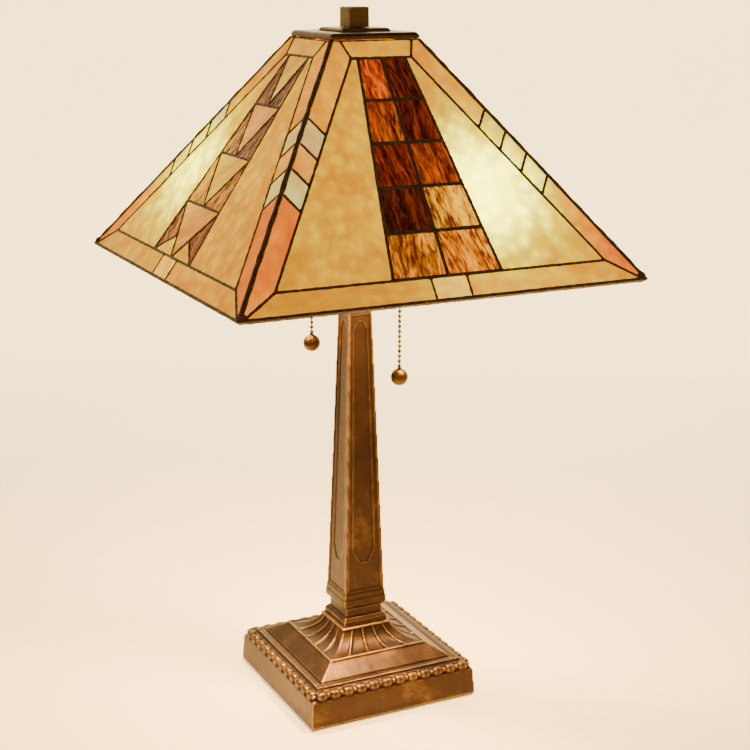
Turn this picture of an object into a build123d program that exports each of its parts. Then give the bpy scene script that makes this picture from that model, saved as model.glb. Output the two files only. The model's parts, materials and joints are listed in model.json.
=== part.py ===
from build123d import *

import math
import os

# Two-light table lamp with a four-sided stained glass shade on a square cast column.
# Millimetres, +Z up. The origin is the centre of the footprint, on the surface that the lamp stands on.
# The shade's front panel faces -Y. The two lampholders lie on one horizontal line, turned off that axis.

# Base casting, from the felt upwards. Half widths of square sections.
FELT_THICKNESS = 1.2
FELT_HALF = 79.0
SLAB_HALF_BOTTOM = 80.7
SLAB_HALF_TOP = 79.0
SLAB_TOP = 24.9
SLAB_ROUND = 1.4
LEDGE_TOP = 26.1
COVE_STEP = 2.6
COVE_TOP = 31.5
FILLET_HALF = 70.0
FILLET_LIP = 4.8
LIP_DROP = 0.8
FILLET_TOP = 34.0
SLOPE_HALF = 62.9
SLOPE_BOTTOM = 34.8
FLUTE_HALF_BOTTOM = 47.5
SLOPE_TOP = 44.2
FLUTE_BOTTOM = 45.6
FLUTE_HALF_TOP = 23.4
HOLLOW_OUT = 9.2
HOLLOW_UP = 4.9
CASTING_TOP = 61.0
CAVITY_HALF = 74.0
CAVITY_TOP = 20.0
RISER_CAVITY_HALF = 40.0
RISER_CAVITY_TOP = 40.0
BEADS_PER_SIDE = 12
BEAD_LINE_HALF = 75.3
BEAD_LINE_HEIGHT = 28.4
BEAD_RADIUS = 3.8
REEL_RADIUS = 1.9
FLUTES_PER_SIDE = 5
BEAD_ROUNDING = 0.6
REEL_SHIFT = 1.0
FLUTE_DEPTH = 1.1
FLUTE_RIB = 1.8
FLUTE_FOOT_INSET = 1.5
FLUTE_HEAD_INSET = 0.8

# Things inside the base, all on the lamp pipe.
PIPE_RADIUS = 4.8
PIPE_BORE_RADIUS = 3.3
PIPE_HOLE_RADIUS = 5.2
PIPE_BOTTOM = 1.6
PIPE_CUT = 700.0
WEIGHT_HALF = 62.0
WEIGHT_BOTTOM = 6.4
WASHER_RADIUS = 14.0
NUT_ACROSS_FLATS = 15.9
NUT_BOTTOM = 1.8
NUT_TOP = 5.2
GROMMET_BORE_RADIUS = 3.4
GROMMET_RADIUS = 5.2
GROMMET_FLANGE_RADIUS = 7.6
GROMMET_FLANGE = 1.6
GROMMET_ROUND = 0.7
GROMMET_HEIGHT = 11.0

# Column.
COLLAR_HALF = 21.3
COLLAR_EDGE_TOP = 65.6
COLLAR_TOP = 68.4
COLLAR_LIP = 1.6
NECK_HALF = 17.4
NECK_TOP = 76.4
SHAFT_FOOT_LIP = 0.8
SHAFT_FOOT_START = 79.0
SHAFT_FOOT_HALF = 20.8
SHAFT_FOOT_TOP = 84.8
SHAFT_EDGE = 0.6
SHAFT_STEP_HALF = 20.1
SHAFT_HALF_BOTTOM = 19.4
SHAFT_HALF_TOP = 10.95
SHAFT_BOTTOM = 90.4
SHAFT_TOP = 352.0
PANEL_BOTTOM = 93.2
PANEL_TOP = 345.0
PANEL_SHARE = 0.84
INNER_PANEL_BOTTOM = 119.0
INNER_PANEL_TOP = 339.0
INNER_PANEL_SHARE = 0.56
INNER_PANEL_CORNER = 0.6
PANEL_DEPTH = 0.9
SHAFT_WALL = 4.6
COLUMN_CAP_HALF = 12.6
COLUMN_CAP_EDGE = 2.4
COLUMN_CAP_SLOPE = 3.0
COLUMN_CAP_TOP = 357.0

# Lampholders: a hub on the pipe with one holder each way, and a bulb in each.
HOLDER_HEIGHT = 424.0
HOLDER_TURN = -50.0
HUB_RADIUS = 15.0
HUB_HALF_HEIGHT = 16.0
HUB_WALL = 2.5
HUB_ROUND = 4.0
SLEEVE_WALL = 2.4
NIPPLE_RADIUS = 5.0
NIPPLE_START = 12.0
NIPPLE_LENGTH = 7.2
HOLDER_RADIUS = 19.0
HOLDER_WALL = 0.9
HOLDER_START = 24.6
HOLDER_MOUTH = 55.0
SCREW_SHELL_RADIUS = 13.9
SCREW_SHELL_BORE = 13.4
CORE_START = 25.8
CORE_END = 32.0
BULB_RADIUS = 25.0
BULB_BASE_RADIUS = 13.1
BULB_CENTRE = 100.0
BULB_NECK_RADIUS = 14.0
BULB_SHOULDER = 12.0
BULB_CROWN = 8.0
GLASS_WALL = 0.8

# Pull chains.
CHAIN_REACH = 42.0
GUIDE_TOP = 18.2
GUIDE_BOTTOM = 27.0
GUIDE_BORE = 2.2
CHAIN_BEAD_RADIUS = 1.6
CHAIN_PITCH = 4.4
CHAIN_LINK_RADIUS = 0.5
CHAIN_START = 28.6
BEADS_IN_GUIDE = 2
CHAIN_BEADS = {"front": 22, "back": 17}
PULL_BALL_RADIUS = 7.5
BALL_NECK = 0.8
BALL_NECK_RADIUS = 1.9

# Shade. The outer faces of the four panels meet in the nominal hips.
SHADE_HALF = 177.8
SHADE_BOTTOM = 391.7
SHADE_RUN = 140.4
SHADE_RISE = 190.9
CAME_THICKNESS = 4.2
GLASS_THICKNESS = 3.0
PANEL_START = 1.8
PANEL_END = 231.8
RIM_START = -1.0
RIM_PROUD = 0.3
RIM_DEPTH = 4.9
HIP_CROWN = 5.3

# Leaded pattern, in each panel's own plane: across, and up the slope from the lower edge.
LINE = 2.4
BLOCK_LINE = 3.2
BAND = 20.0
TOP_BAND = 215.0
BAND_HALF_BOTTOM = 143.5
BAND_HALF_TOP = 27.0
STRIP_HALF_BOTTOM = 47.6
STRIP_HALF_TOP = 21.3
BLOCK_ROWS = 5
ARROW_HALF_BOTTOM = 43.0
ARROW_HALF_TOP = 19.7
ARROW_ROWS = 4
ARROW_FOOT = 38.5
CHEVRON_FIRST = 98.5
CHEVRON_PITCH = 21.3
CHEVRON_DROP = 15.8
CHEVRON_LINES = 4
TILE_HALF = 15.6

# Cap, stem and finial.
CAP_HALF = 40.4
CAP_HALF_TOP = 38.2
CAP_BOTTOM = 578.6
CAP_EDGE = 2.0
CAP_TOP = 583.6
CAP_HOLE_RADIUS = 4.4
CAP_RING_RADIUS = 30.0
CAP_RING_DEPTH = 4.0
STEM_RADIUS = 3.6
STEM_TOP = 598.0
REST_NUT_RADIUS = 9.0
REST_NUT_HEIGHT = 4.0
REST_NUT_ROUND = 1.0
PLATE_HALF = 22.4
PLATE_HALF_TOP = 20.9
PLATE_EDGE = 1.1
PLATE_TOP = 586.5
FINIAL_HALF_BOTTOM = 9.25
FINIAL_HALF_TOP = 9.0
FINIAL_BOTTOM = 586.8
FINIAL_TOP = 603.1
FINIAL_CHAMFER = 0.5
FINIAL_PLAY = 0.3

SLOPE_LENGTH = math.hypot(SHADE_RUN, SHADE_RISE)
LEAN = SHADE_RUN / SLOPE_LENGTH
RISE = SHADE_RISE / SLOPE_LENGTH
FACES = {"front": 0, "right": 90, "back": 180, "left": 270}
HOLDERS = {"front": HOLDER_TURN, "back": HOLDER_TURN + 180}


def turned_square(*right_side):
    """A solid with a square section at every height, from the edges of its right-hand outline."""
    right = Wire(list(right_side))
    low, high = right @ 0, right @ 1
    left = mirror(right, Plane.YZ)
    closing = [Line((-low.X, low.Y), (low.X, low.Y)), Line((-high.X, high.Y), (high.X, high.Y))]
    outline = make_face([*right.edges(), *left.edges(), *closing])
    reach = 2 * right.bounding_box().max.X
    prism = extrude(Plane.XZ * outline, amount=reach, both=True)
    return prism & Rot(0, 0, 90) * prism


def square_stack(*corners):
    """turned_square for an outline of straight lines through (half width, height) points."""
    return turned_square(*Polyline(*corners).edges())


def post(radius, low, high):
    return Pos(0, 0, low) * Cylinder(radius, high - low, align=(Align.CENTER, Align.CENTER, Align.MIN))


def turned(*outline):
    """A solid turned about Z from a closed outline of (radius, height) points."""
    return revolve(Plane.XZ * make_face(Polyline(*outline, close=True)), Axis.Z)


def lathe_x(*outline):
    """A solid turned about X from a closed outline of (distance, radius) points."""
    return revolve(make_face(Polyline(*outline, close=True)), Axis.X)


def four_sides(shape):
    return [Rot(0, 0, turn) * shape for turn in FACES.values()]


def base_outline(sink):
    """The casting's edges from foot to neck, with the fluted hollow sunk by a depth."""
    flat = Polyline(
        (SLAB_HALF_BOTTOM, FELT_THICKNESS),
        (SLAB_HALF_TOP, SLAB_TOP),
        (SLAB_HALF_TOP - SLAB_ROUND, LEDGE_TOP),
        (BEAD_LINE_HALF, LEDGE_TOP),
        (BEAD_LINE_HALF - COVE_STEP, COVE_TOP),
        (FILLET_HALF, COVE_TOP),
        (FILLET_HALF, FILLET_TOP),
        (FILLET_HALF - FILLET_LIP, FILLET_TOP),
        (FILLET_HALF - FILLET_LIP, FILLET_TOP - LIP_DROP),
        (SLOPE_HALF, FILLET_TOP - LIP_DROP),
        (SLOPE_HALF, SLOPE_BOTTOM),
        (FLUTE_HALF_BOTTOM, SLOPE_TOP),
        (FLUTE_HALF_BOTTOM, FLUTE_BOTTOM - sink),
    )
    foot = (FLUTE_HALF_BOTTOM, FLUTE_BOTTOM - sink)
    head = (FLUTE_HALF_TOP - sink, CASTING_TOP)
    middle = (FLUTE_HALF_TOP + HOLLOW_OUT - sink, FLUTE_BOTTOM + HOLLOW_UP - sink)
    return [*flat.edges(), ThreePointArc(foot, middle, head)]


def flute_sectors():
    """Prisms over the flutes of the front side, narrowing towards the neck, with ribs left between."""
    pitch_bottom = 2 * FLUTE_HALF_BOTTOM / FLUTES_PER_SIDE
    pitch_top = 2 * FLUTE_HALF_TOP / FLUTES_PER_SIDE
    sectors = []
    for i in range(FLUTES_PER_SIDE):
        left, right = i - FLUTES_PER_SIDE / 2, i + 1 - FLUTES_PER_SIDE / 2
        plan = Polyline(
            (left * pitch_bottom + FLUTE_RIB / 2, FLUTE_FOOT_INSET - FLUTE_HALF_BOTTOM),
            (right * pitch_bottom - FLUTE_RIB / 2, FLUTE_FOOT_INSET - FLUTE_HALF_BOTTOM),
            (right * pitch_top - FLUTE_RIB / 4, FLUTE_HEAD_INSET - FLUTE_HALF_TOP),
            (left * pitch_top + FLUTE_RIB / 4, FLUTE_HEAD_INSET - FLUTE_HALF_TOP),
            close=True,
        )
        sector = extrude(make_face(plan), amount=CASTING_TOP - SLOPE_TOP - FLUTE_FOOT_INSET)
        sectors.append(Pos(0, 0, SLOPE_TOP) * sector)
    return sectors


def bead_course():
    """One side of the bead-and-reel moulding: long beads with a small reel after each."""
    pitch = 2 * BEAD_LINE_HALF / BEADS_PER_SIDE
    bead = Cylinder(BEAD_RADIUS, pitch - 2 * REEL_RADIUS, rotation=(0, 90, 0))
    bead = fillet(bead.edges(), BEAD_ROUNDING * BEAD_RADIUS)
    reel = Sphere(REEL_RADIUS)
    pieces = []
    for i in range(BEADS_PER_SIDE):
        along = (i + 0.5) * pitch - BEAD_LINE_HALF
        pieces.append(Pos(along, -BEAD_LINE_HALF, BEAD_LINE_HEIGHT) * bead)
        place = Pos(along + pitch / 2, -BEAD_LINE_HALF - REEL_SHIFT, BEAD_LINE_HEIGHT + REEL_SHIFT)
        pieces.append(place * reel)
    return pieces


def base_casting():
    body = turned_square(*base_outline(0))
    sunk = turned_square(*base_outline(FLUTE_DEPTH))
    for sector in flute_sectors():
        body -= four_sides(sector - sunk)
    for piece in bead_course():
        body += four_sides(piece)
    cavity = Box(2 * CAVITY_HALF, 2 * CAVITY_HALF, 2 * CAVITY_TOP)
    cavity += Box(2 * RISER_CAVITY_HALF, 2 * RISER_CAVITY_HALF, 2 * RISER_CAVITY_TOP)
    cord_hole = Pos(0, SLAB_HALF_TOP, GROMMET_HEIGHT) * Cylinder(GROMMET_RADIUS, 30, rotation=(90, 0, 0))
    return body - cavity - post(PIPE_HOLE_RADIUS, 0, PIPE_CUT) - cord_hole


def base_fittings():
    square = Rectangle(2 * WEIGHT_HALF, 2 * WEIGHT_HALF)
    weight = Pos(0, 0, WEIGHT_BOTTOM) * extrude(square, amount=CAVITY_TOP - WEIGHT_BOTTOM)
    felt = extrude(Rectangle(2 * FELT_HALF, 2 * FELT_HALF), amount=FELT_THICKNESS)
    hexagon = RegularPolygon(NUT_ACROSS_FLATS / 2, 6, major_radius=False)
    nut = Pos(0, 0, NUT_BOTTOM) * extrude(hexagon, amount=NUT_TOP - NUT_BOTTOM)
    washer = post(WASHER_RADIUS, NUT_TOP, WEIGHT_BOTTOM)
    wall = SLAB_HALF_BOTTOM - CAVITY_HALF
    grommet = Cylinder(GROMMET_RADIUS, wall + 1, align=(Align.CENTER, Align.CENTER, Align.MAX))
    grommet += Cylinder(GROMMET_FLANGE_RADIUS, GROMMET_FLANGE, align=(Align.CENTER, Align.CENTER, Align.MIN))
    grommet -= Cylinder(GROMMET_BORE_RADIUS, 4 * wall)
    grommet = fillet(grommet.edges().group_by(Axis.Z)[-1], GROMMET_ROUND)
    return {
        "base_weight": weight - post(PIPE_HOLE_RADIUS, 0, PIPE_CUT),
        "felt_pad": felt,
        "base_nut": nut - post(PIPE_RADIUS, 0, PIPE_CUT),
        "base_washer": washer - post(PIPE_RADIUS, 0, PIPE_CUT),
        "cord_grommet": Pos(0, SLAB_HALF_BOTTOM, GROMMET_HEIGHT) * Rot(-90, 0, 0) * grommet,
    }


def column_collar():
    body = square_stack(
        (COLLAR_HALF, CASTING_TOP),
        (COLLAR_HALF, COLLAR_EDGE_TOP),
        (NECK_HALF + COLLAR_LIP, COLLAR_TOP),
        (NECK_HALF, COLLAR_TOP),
        (NECK_HALF, NECK_TOP),
    )
    return body - post(PIPE_HOLE_RADIUS, 0, PIPE_CUT)


def shaft_half(height):
    share = (height - SHAFT_BOTTOM) / (SHAFT_TOP - SHAFT_BOTTOM)
    return SHAFT_HALF_BOTTOM + share * (SHAFT_HALF_TOP - SHAFT_HALF_BOTTOM)


def shaft_recess(share, low, high, sink, corner):
    """A pocket in the shaft's front face, following its taper, with its corners cut off."""
    face = Plane(
        origin=(0, -SHAFT_HALF_BOTTOM, SHAFT_BOTTOM),
        x_dir=(1, 0, 0),
        z_dir=(0, SHAFT_BOTTOM - SHAFT_TOP, SHAFT_HALF_BOTTOM - SHAFT_HALF_TOP),
    )
    low_half, high_half = share * shaft_half(low), share * shaft_half(high)
    right = [
        ((1 - corner) * low_half, low),
        (low_half, low + 2 * corner * low_half),
        (high_half, high - 2 * corner * high_half),
        ((1 - corner) * high_half, high),
    ]
    left = [(-across, height) for across, height in reversed(right)]
    corners = [(across, height - SHAFT_BOTTOM) for across, height in right + left]
    if corner == 0:
        corners = [corners[0], corners[3], corners[4], corners[7]]
    pocket = make_face(Polyline(*corners, close=True))
    return face * Pos(0, 0, -sink) * extrude(pocket, amount=sink + 1)


def column_shaft():
    body = square_stack(
        (NECK_HALF + SHAFT_FOOT_LIP, NECK_TOP),
        (SHAFT_FOOT_HALF, SHAFT_FOOT_START),
        (SHAFT_FOOT_HALF, SHAFT_FOOT_TOP),
        (SHAFT_STEP_HALF, SHAFT_FOOT_TOP + SHAFT_EDGE),
        (SHAFT_STEP_HALF, SHAFT_BOTTOM - SHAFT_EDGE),
        (SHAFT_HALF_BOTTOM, SHAFT_BOTTOM),
        (SHAFT_HALF_TOP, SHAFT_TOP),
    )
    outer = shaft_recess(PANEL_SHARE, PANEL_BOTTOM, PANEL_TOP, PANEL_DEPTH, 0)
    inner = shaft_recess(INNER_PANEL_SHARE, INNER_PANEL_BOTTOM, INNER_PANEL_TOP, 2 * PANEL_DEPTH,
                         INNER_PANEL_CORNER)
    for recess in four_sides(outer + inner):
        body -= recess
    low, high = SHAFT_FOOT_TOP, SHAFT_TOP - SHAFT_WALL
    hollow = square_stack((shaft_half(low) - SHAFT_WALL, low), (shaft_half(high) - SHAFT_WALL, high))
    return body - hollow - post(PIPE_HOLE_RADIUS, 0, PIPE_CUT)


def column_cap():
    body = square_stack(
        (COLUMN_CAP_HALF, SHAFT_TOP),
        (COLUMN_CAP_HALF, SHAFT_TOP + COLUMN_CAP_EDGE),
        (COLUMN_CAP_HALF - COLUMN_CAP_SLOPE, COLUMN_CAP_TOP),
    )
    return body - post(PIPE_HOLE_RADIUS, 0, PIPE_CUT)


def hub_parts():
    bottom, top = HOLDER_HEIGHT - HUB_HALF_HEIGHT, HOLDER_HEIGHT + HUB_HALF_HEIGHT
    inner = HUB_RADIUS - HUB_WALL
    hub = post(HUB_RADIUS, bottom, top)
    hub = fillet(hub.edges(), HUB_ROUND)
    hub -= post(inner, bottom + HUB_WALL, top - HUB_WALL)
    hub -= post(PIPE_RADIUS, bottom - 1, bottom + HUB_WALL + 1)
    hub -= post(STEM_RADIUS, top - HUB_WALL - 1, top + 1)
    side_holes = Cylinder(NIPPLE_RADIUS, 4 * HUB_RADIUS, rotation=(0, 90, 0))
    hub -= Pos(0, 0, HOLDER_HEIGHT) * Rot(0, 0, HOLDER_TURN) * side_holes
    sleeve = post(PIPE_RADIUS + SLEEVE_WALL, COLUMN_CAP_TOP, bottom)
    sleeve -= post(PIPE_RADIUS, 0, PIPE_CUT)
    pipe = post(PIPE_RADIUS, PIPE_BOTTOM, bottom + HUB_WALL) - post(PIPE_BORE_RADIUS, 0, PIPE_CUT)
    stem = post(STEM_RADIUS, top - HUB_WALL, STEM_TOP)
    rest = CAP_BOTTOM - CAP_RING_DEPTH
    rest_nut = post(REST_NUT_RADIUS, rest - REST_NUT_HEIGHT, rest)
    rest_nut = fillet(rest_nut.edges(), REST_NUT_ROUND) - post(STEM_RADIUS, 0, PIPE_CUT)
    return {
        "cluster_hub": hub,
        "neck_sleeve": sleeve,
        "lamp_pipe": pipe,
        "shade_stem": stem,
        "shade_rest_nut": rest_nut,
    }


def holder_parts():
    """One lampholder along +X, and its bulb, with the lamp's axis at the origin."""
    hull, mouth = HOLDER_RADIUS, HOLDER_MOUTH
    cap = lathe_x(
        (16.4, NIPPLE_RADIUS),
        (16.4, 10.0),
        (19.0, 15.6),
        (23.0, hull + 0.9),
        (28.0, hull + 0.9),
        (28.0, hull),
        (23.6, hull),
        (19.8, 14.9),
        (17.4, 9.4),
        (17.4, NIPPLE_RADIUS),
    )
    shell = lathe_x(
        (HOLDER_START, hull - HOLDER_WALL),
        (HOLDER_START, hull),
        (mouth - 2.4, hull),
        (mouth - 1.2, hull + 0.8),
        (mouth, hull),
        (mouth, hull - HOLDER_WALL),
    )
    guide_place = Pos(CHAIN_REACH, 0, 0)
    shell -= guide_place * post(GUIDE_BORE + 0.9, -hull - 1, -hull + 2)
    nipple = lathe_x(
        (NIPPLE_START, PIPE_BORE_RADIUS),
        (NIPPLE_START, NIPPLE_RADIUS),
        (NIPPLE_START + NIPPLE_LENGTH, NIPPLE_RADIUS),
        (NIPPLE_START + NIPPLE_LENGTH, PIPE_BORE_RADIUS),
    )
    core_radius = hull - HOLDER_WALL - 0.1
    core = Pos(CORE_START, 0, 0) * Rot(0, 90, 0) * post(core_radius, 0, CORE_END - CORE_START)
    screw_shell = lathe_x(
        (CORE_END, SCREW_SHELL_BORE),
        (CORE_END, SCREW_SHELL_RADIUS),
        (mouth - 3, SCREW_SHELL_RADIUS),
        (mouth - 3, SCREW_SHELL_BORE),
    )
    guide = turned(
        (GUIDE_BORE, -GUIDE_TOP),
        (GUIDE_BORE + 0.8, -GUIDE_TOP),
        (GUIDE_BORE + 0.8, -GUIDE_BOTTOM + 3),
        (GUIDE_BORE + 2.2, -GUIDE_BOTTOM),
        (GUIDE_BORE + 1.4, -GUIDE_BOTTOM),
        (GUIDE_BORE, -GUIDE_BOTTOM + 3),
    )
    return {
        "socket_cap": cap,
        "socket_shell": shell,
        "socket_nipple": nipple,
        "socket_core": core,
        "screw_shell": screw_shell,
        "chain_guide": guide_place * guide,
    }


def bulb_parts():
    """A pear-shaped bulb along +X: its glass envelope and its screw base."""
    neck_start, neck = HOLDER_MOUTH - 1.0, BULB_NECK_RADIUS
    tip = BULB_CENTRE + BULB_RADIUS
    shoulder = (BULB_CENTRE - BULB_SHOULDER, math.sqrt(BULB_RADIUS**2 - BULB_SHOULDER**2))
    crown = (BULB_CENTRE + BULB_CROWN, math.sqrt(BULB_RADIUS**2 - BULB_CROWN**2))
    outline = [
        Line((neck_start, 0), (neck_start, neck - 1.4)),
        Line((neck_start, neck - 1.4), (neck_start + 4, neck)),
        ThreePointArc((neck_start + 4, neck), (neck_start + 19, neck + 3), shoulder),
        ThreePointArc(shoulder, crown, (tip, 0)),
        Line((tip, 0), (neck_start, 0)),
    ]
    envelope = revolve(make_face(outline), Axis.X)
    hollow = Pos(BULB_CENTRE, 0, 0) * Sphere(BULB_RADIUS - GLASS_WALL)
    base = lathe_x(
        (CORE_END + 1.0, 0),
        (CORE_END + 1.0, 4.0),
        (CORE_END + 2.2, 5.0),
        (CORE_END + 4.0, BULB_BASE_RADIUS - 1.2),
        (CORE_END + 5.0, BULB_BASE_RADIUS),
        (neck_start, BULB_BASE_RADIUS),
        (neck_start, 0),
    )
    return {"bulb_glass": envelope - hollow, "bulb_base": base}


def bead_string(top, beads):
    """Beads and the links between them, turned as one about Z, hanging from a height."""
    half_link = math.sqrt(CHAIN_BEAD_RADIUS**2 - CHAIN_LINK_RADIUS**2)
    centres = [top - CHAIN_BEAD_RADIUS - i * CHAIN_PITCH for i in range(beads)]
    edges = []
    for centre in centres:
        start, end = (CHAIN_LINK_RADIUS, centre + half_link), (CHAIN_LINK_RADIUS, centre - half_link)
        if centre == centres[0]:
            start = (0, centre + CHAIN_BEAD_RADIUS)
        if centre == centres[-1]:
            end = (0, centre - CHAIN_BEAD_RADIUS)
        else:
            edges.append(Line(end, (CHAIN_LINK_RADIUS, centre - CHAIN_PITCH + half_link)))
        edges.append(ThreePointArc(start, (CHAIN_BEAD_RADIUS, centre), end))
    edges.append(Line((0, centres[-1] - CHAIN_BEAD_RADIUS), (0, centres[0] + CHAIN_BEAD_RADIUS)))
    return revolve(Plane.XZ * make_face(edges), Axis.Z)


def chain_parts(beads):
    """The chain below one lampholder's axis, which is at height 0."""
    in_guide = CHAIN_START - CHAIN_PITCH + CHAIN_BEAD_RADIUS
    link_top = -in_guide + (BEADS_IN_GUIDE - 1) * CHAIN_PITCH + 2 * CHAIN_BEAD_RADIUS
    chain_top = -CHAIN_START
    ball_top = chain_top - (beads - 1) * CHAIN_PITCH - 2 * CHAIN_BEAD_RADIUS
    ball = Pos(0, 0, ball_top - BALL_NECK - PULL_BALL_RADIUS) * Sphere(PULL_BALL_RADIUS)
    ball += post(BALL_NECK_RADIUS, ball_top - 3 * BALL_NECK, ball_top)
    return {
        "pull_link": bead_string(link_top, BEADS_IN_GUIDE),
        "pull_chain": bead_string(chain_top, beads),
        "pull_ball": ball,
    }


def panel_plane():
    """The front panel's outer face: across is X, up is the slope, and Z points out of the shade."""
    return Plane(
        origin=(0, -SHADE_HALF, SHADE_BOTTOM),
        x_dir=(1, 0, 0),
        z_dir=(0, -SHADE_RISE, SHADE_RUN),
    )


def side_at(up):
    """Where the panel ends against the hip bar."""
    return SHADE_HALF - LEAN * up - RISE * CAME_THICKNESS


def band_at(up):
    share = (up - BAND) / (TOP_BAND - BAND)
    return BAND_HALF_BOTTOM + share * (BAND_HALF_TOP - BAND_HALF_BOTTOM)


def strip_at(up, bottom, top):
    return bottom + (up - BAND) / (TOP_BAND - BAND) * (top - bottom)


def mirrored(piece):
    return [(-across, up) for across, up in reversed(piece)]


def inset(corners, gaps):
    """A convex outline, listed anticlockwise, with each edge moved inwards by its own gap."""
    lines = []
    for (x0, y0), (x1, y1), gap in zip(corners, corners[1:] + corners[:1], gaps):
        length = math.hypot(x1 - x0, y1 - y0)
        normal = ((y0 - y1) / length, (x1 - x0) / length)
        lines.append((*normal, normal[0] * x0 + normal[1] * y0 + gap))
    found = []
    for (a, b, c), (d, e, f) in zip(lines[-1:] + lines[:-1], lines):
        cross = a * e - b * d
        found.append(((c * e - b * f) / cross, (a * f - c * d) / cross))
    return found


def mitre_at(up, inner, outer):
    """Where the line between a band's inner and outer corners is, at a height."""
    (x0, y0), (x1, y1) = inner, outer
    return x0 + (up - y0) / (y1 - y0) * (x1 - x0)


def border_pieces():
    """The right half of the bands round a panel: (outline, gaps) for plain glass, and for chevrons."""
    half = LINE / 2
    low_inner, high_inner = (BAND_HALF_BOTTOM, BAND), (BAND_HALF_TOP, TOP_BAND)
    low_mitre = (mitre_at(PANEL_START, low_inner, (side_at(0), 0)), PANEL_START)
    high_mitre = (mitre_at(PANEL_END, high_inner, (side_at(SLOPE_LENGTH), SLOPE_LENGTH)), PANEL_END)
    hip_ends = [CHEVRON_FIRST + i * CHEVRON_PITCH for i in range(CHEVRON_LINES)]
    lines = [((band_at(up - CHEVRON_DROP), up - CHEVRON_DROP), (side_at(up), up)) for up in hip_ends]
    plain = [
        ([(TILE_HALF, PANEL_START), low_mitre, low_inner, (TILE_HALF, BAND)], [0, half, half, half]),
        ([low_inner, (side_at(0), 0), lines[0][1], lines[0][0]], [half, 0, half, half]),
        ([*lines[-1], (side_at(PANEL_END), PANEL_END), high_mitre, high_inner],
         [half, 0, half, half, half]),
    ]
    chevrons = [([low[0], low[1], high[1], high[0]], [half, 0, half, half])
                for low, high in zip(lines, lines[1:])]
    return plain, chevrons


def middle_pieces():
    """The bands' pieces that lie across the panel's centre line: the top one, and the lower tile."""
    half = LINE / 2
    high_mitre = mitre_at(PANEL_END, (BAND_HALF_TOP, TOP_BAND), (side_at(SLOPE_LENGTH), SLOPE_LENGTH))
    top = [(-BAND_HALF_TOP, TOP_BAND), (BAND_HALF_TOP, TOP_BAND),
           (high_mitre, PANEL_END), (-high_mitre, PANEL_END)]
    tile = [(-TILE_HALF, PANEL_START), (TILE_HALF, PANEL_START), (TILE_HALF, BAND), (-TILE_HALF, BAND)]
    return [(top, [half] * 4), (tile, [0, half, half, half])]


def field_piece(bottom, top):
    """The large piece of glass to the right of the centre strip."""
    outline = [(bottom, BAND), (BAND_HALF_BOTTOM, BAND), (BAND_HALF_TOP, TOP_BAND), (top, TOP_BAND)]
    return outline, [LINE / 2] * 4


def block_pieces():
    """The right-hand column of blocks, from the lowest up."""
    step = (TOP_BAND - BAND) / BLOCK_ROWS
    pieces = []
    for row in range(BLOCK_ROWS):
        low, high = BAND + row * step, BAND + (row + 1) * step
        wide = strip_at(low, STRIP_HALF_BOTTOM, STRIP_HALF_TOP)
        narrow = strip_at(high, STRIP_HALF_BOTTOM, STRIP_HALF_TOP)
        pieces.append(([(0, low), (wide, low), (narrow, high), (0, high)], [BLOCK_LINE / 2] * 4))
    return pieces


def arrow_pieces():
    """The stacked arrowheads: (pale pieces across the centre, dark pieces and feet of the right half)."""
    step = (TOP_BAND - BAND) / ARROW_ROWS
    gaps = [LINE / 2] * 3
    pale, dark, feet = [], [], []
    for row in range(ARROW_ROWS):
        low, high = BAND + row * step, BAND + (row + 1) * step
        wide = strip_at(low, ARROW_HALF_BOTTOM, ARROW_HALF_TOP)
        narrow = strip_at(high, ARROW_HALF_BOTTOM, ARROW_HALF_TOP)
        pale.append(([(0, low), (narrow, high), (-narrow, high)], gaps))
        if row == 0:
            peak = (narrow * (ARROW_FOOT - low) / (high - low), ARROW_FOOT)
            dark.append(([peak, (wide, low), (narrow, high)], gaps))
            feet.append(([(0, low), (wide, low), peak], gaps))
        else:
            dark.append(([(0, low), (wide, low), (narrow, high)], gaps))
    return pale, dark, feet


def both_halves(pieces):
    """Outlines inset by their gaps, with their mirror images."""
    right = [inset(*piece) for piece in pieces]
    return right + [mirrored(outline) for outline in right]


def panel_glass(pattern):
    """{kind of glass: outlines} for one panel."""
    plain, chevrons = border_pieces()
    glass = {"border_glass": both_halves(plain + chevrons) + [inset(*piece) for piece in middle_pieces()]}
    if pattern == "blocks":
        glass["field_glass"] = both_halves([field_piece(STRIP_HALF_BOTTOM, STRIP_HALF_TOP)])
        glass["block_glass"] = both_halves(block_pieces())
        return glass
    pale, dark, feet = arrow_pieces()
    glass["field_glass"] = both_halves([field_piece(ARROW_HALF_BOTTOM, ARROW_HALF_TOP)] + feet)
    glass["arrow_glass"] = [inset(*piece) for piece in pale]
    glass["dark_glass"] = both_halves(dark)
    return glass


def shade_panel(pattern):
    """The front panel's came and its glass, as {kind: shape}."""
    place = panel_plane()
    outlines = panel_glass(pattern)
    edge = [(-side_at(PANEL_START), PANEL_START), (side_at(PANEL_START), PANEL_START),
            (side_at(PANEL_END), PANEL_END), (-side_at(PANEL_END), PANEL_END)]
    sheet = extrude(make_face(Polyline(*edge, close=True)), amount=-CAME_THICKNESS)
    skin = (CAME_THICKNESS - GLASS_THICKNESS) / 2
    found = {}
    for kind, pieces in outlines.items():
        faces = [make_face(Polyline(*outline, close=True)) for outline in pieces]
        sheet -= [extrude(face, amount=-CAME_THICKNESS) for face in faces]
        panes = [place * Pos(0, 0, -skin) * extrude(face, amount=-GLASS_THICKNESS) for face in faces]
        found[kind] = Compound(panes)
    found["came"] = place * sheet
    return found


def corner_wedge():
    """The quarter of space in front of the lamp, between the two vertical planes through the hips."""
    reach = 2 * SHADE_HALF
    plan = make_face(Polyline((0, 0), (-reach, -reach), (reach, -reach), close=True))
    return extrude(plan, amount=FINIAL_TOP)


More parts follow.
